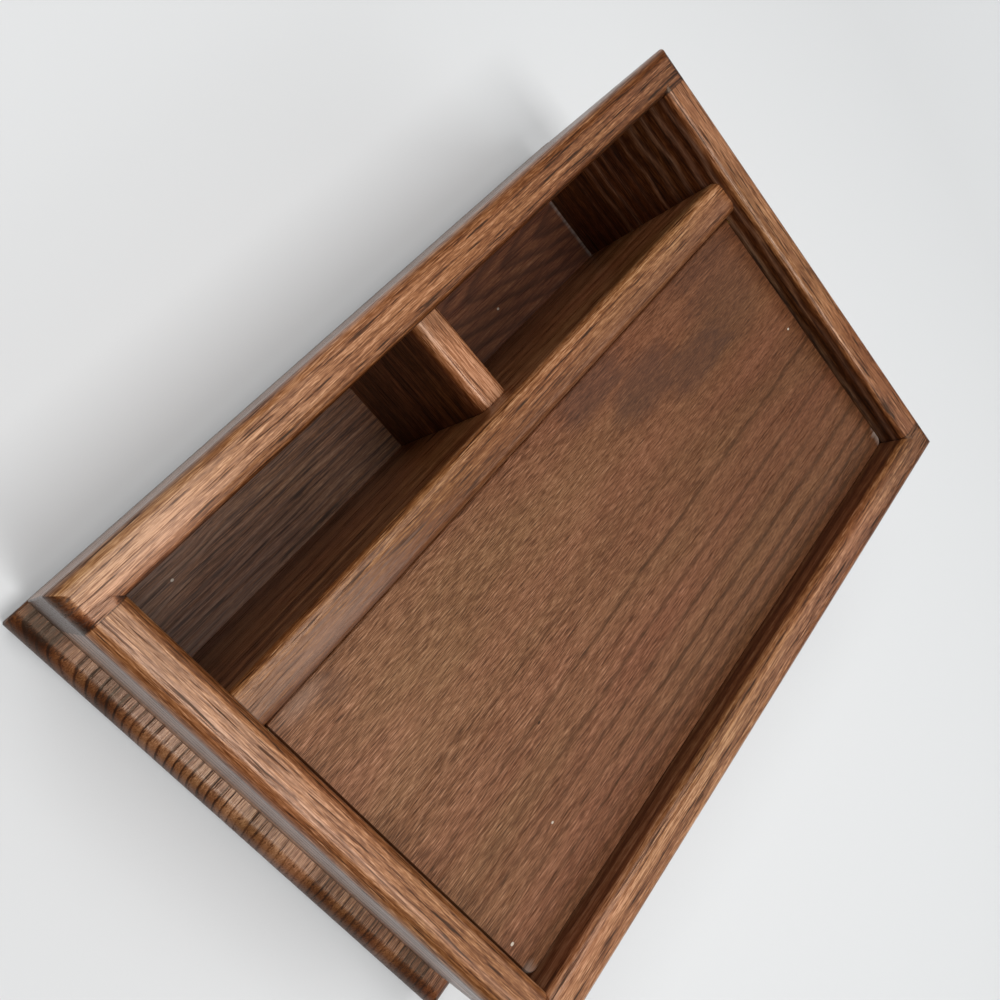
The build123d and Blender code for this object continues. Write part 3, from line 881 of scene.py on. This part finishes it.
# %% One screw
bpy.ops.object.select_all(action="DESELECT")
bpy.ops.mesh.primitive_circle_add(vertices=32, radius=head_radius, fill_type="NGON", location=first)
screw = bpy.context.object
screw.name = "wood_screws"
bpy.ops.object.mode_set(mode="EDIT")
bpy.ops.mesh.select_all(action="SELECT")
for rise, width in ((head_height, core_radius / head_radius), (shank_length - point_length, 1.0),
                    (point_length, point_share)):
    bpy.ops.mesh.extrude_region_move(TRANSFORM_OT_translate={"value": (0, 0, rise)})
    bpy.ops.transform.resize(value=(width, width, 1), center_override=first)
bpy.ops.object.mode_set(mode="OBJECT")
for turn in (0.0, math.pi / 2):
    bar = cross_bar(turn)
    use_modifier(screw, "BOOLEAN", object=bar, operation="DIFFERENCE")
    bpy.data.objects.remove(bar)

# The thread is a small triangle that climbs round the core.
bpy.ops.object.select_all(action="DESELECT")
bpy.ops.mesh.primitive_circle_add(vertices=3, radius=thread_size, fill_type="NOTHING",
                                  rotation=(math.pi / 2, 0, 0), location=(core_radius + thread_lift, 0, 0))
thread = bpy.context.object
bpy.ops.object.transform_apply(location=True, rotation=True, scale=True)
use_modifier(thread, "SCREW", steps=20, render_steps=20, screw_offset=pitch, iterations=turns,
             use_merge_vertices=False)
thread.data.transform(Matrix.Translation(first + Vector((0, 0, head_height + bare_neck))))
pick(screw, thread)
bpy.ops.object.join()
bpy.ops.object.transform_apply(location=True, rotation=True, scale=True)
print("one screw:", len(screw.data.polygons), "faces")

# %% Four screws
one_screw = screw.data.copy()
apart = screws_high - screws_low
for far_x, far_y in ((1, 0), (0, 1), (1, 1)):
    twin = bpy.data.objects.new("screw_twin", one_screw.copy())
    bpy.context.scene.collection.objects.link(twin)
    twin.data.transform(Matrix.Translation(
        ((apart.x - 2 * head_radius) * far_x, (apart.y - 2 * head_radius) * far_y, 0)))
    pick(screw, twin)
    bpy.ops.object.join()
bpy.data.meshes.remove(one_screw)
bpy.ops.object.shade_smooth_by_angle(angle=math.radians(40))
screw.data.materials.clear()
screw.data.materials.append(steel)
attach(screw, "box")
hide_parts("base_screws")
print("screws:", len(screw.data.polygons), "faces, from", round(min(v.co.z for v in screw.data.vertices), 4),
      "to", round(max(v.co.z for v in screw.data.vertices), 4))

# %% [markdown]
# ## Table, light and camera
# The box stands on a pale table in a bright room. A wide soft lamp overhead gives the
# even light, a second one behind it fills the pen bays, and weaker ones stand for
# windows, so that rounded edges catch a soft line of light on every side. The table is
# lit only near the box. Further off it brightens itself for the camera alone, and so
# does the room, so that views from the side end in the same pale tone.

# %% Table top and room
TABLE_PAINT, DAYLIGHT = (0.735, 0.745, 0.75, 1), (0.92, 0.96, 1.0, 1)
table_side, glow_starts, glow_full, glow = 6.0, 0.6, 2.4, 0.66
room_light, room_brightness = 0.04, 0.72

bpy.ops.object.select_all(action="DESELECT")
bpy.ops.mesh.primitive_plane_add(size=table_side, location=(0, 0, 0))
table_top = bpy.context.object
table_top.name = "table_top"
paint = bpy.data.materials.new("table_white")
paint.use_nodes = True
table_tree = paint.node_tree
surface = table_tree.nodes["Principled BSDF"]
surface.inputs["Base Color"].default_value = TABLE_PAINT
surface.inputs["Roughness"].default_value = 0.6
surface.inputs["Emission Color"].default_value = DAYLIGHT
away = vector(table_tree, "LENGTH", add(table_tree, "ShaderNodeTexCoord").outputs["Object"])
watched = add(table_tree, "ShaderNodeLightPath").outputs["Is Camera Ray"]
plug_in(table_tree, surface.inputs["Emission Strength"],
        times(table_tree, watched, fade(table_tree, away, glow_starts, glow_full, 0.0, glow)))
table_top.data.materials.append(paint)

world = bpy.context.scene.world or bpy.data.worlds.new("room")
bpy.context.scene.world = world
world.use_nodes = True
room = world.node_tree
seen = add(room, "ShaderNodeLightPath").outputs["Is Camera Ray"]
plug_in(room, room.nodes["Background"].inputs["Strength"],
        fade(room, seen, 0.0, 1.0, room_light, room_brightness))
room.nodes["Background"].inputs["Color"].default_value = DAYLIGHT
print("table:", table_side, "m wide, brightens from", glow_starts, "to", glow_full, "m")

# %% [markdown]
# ## Lamps
# Six soft oblong lamps, all white. The larger a lamp is, the softer the shadow it
# throws. Small lamps would give hard edges, and a bright world would light the bays'
# floors as strongly as the rims.

# %% Lamps
def lamp(name, place, aim, sides, power):
    """A soft oblong lamp that faces a point."""
    light = bpy.data.lights.new(name, "AREA")
    light.shape = "RECTANGLE"
    light.size, light.size_y = sides
    light.energy = power
    holder = bpy.data.objects.new(name, light)
    bpy.context.scene.collection.objects.link(holder)
    holder.location = place
    holder.rotation_euler = (Vector(aim) - Vector(place)).to_track_quat("-Z", "Y").to_euler()
    print(name, "gives", power, "W")


box_middle = (0.0, 0.0, 0.1)
lamp("ceiling_panel_right", (0.25, 0.14, 2.1), (0.25, 0.14, 0.0), (0.9, 0.2), 8.0)
lamp("ceiling_panel_left", (-0.42, -0.42, 2.1), (-0.42, -0.42, 0.0), (0.4, 0.8), 20.0)
lamp("back_window", (0.0, 0.95, 1.55), box_middle, (1.3, 0.8), 13.0)
lamp("front_window", (0.0, -1.35, 1.15), box_middle, (1.2, 0.8), 5.0)
lamp("front_right_window", (0.9, -1.0, 1.3), box_middle, (0.9, 0.9), 4.0)
lamp("right_window", (1.4, 0.0, 1.2), box_middle, (1.0, 1.0), 2.5)

# %% [markdown]
# ## Camera
# The camera looks steeply down on the left rear corner, with its horizon turned, so
# that the bays, the lid and the edge of the base are all in view. Its place and lens
# are fixed numbers, so that every render shows the same view.

# %% Camera
camera_place, camera_turn = (-0.21426, 0.15622, 0.48566), (7.1838, -29.2610, -46.3978)  # metres, degrees
sensor_width, lens = 36.0, 32.897  # millimetres

camera = bpy.data.cameras.new("camera")
eye = bpy.data.objects.new("camera", camera)
bpy.context.scene.collection.objects.link(eye)
bpy.context.scene.camera = eye
eye.location = camera_place
eye.rotation_euler = tuple(math.radians(a) for a in camera_turn)
camera.sensor_width = sensor_width
camera.lens = lens
camera.clip_start = 0.01
bpy.context.scene.view_settings.view_transform = "Standard"
print("lens:", lens, "mm, from the origin:", round(eye.location.length, 3), "m")
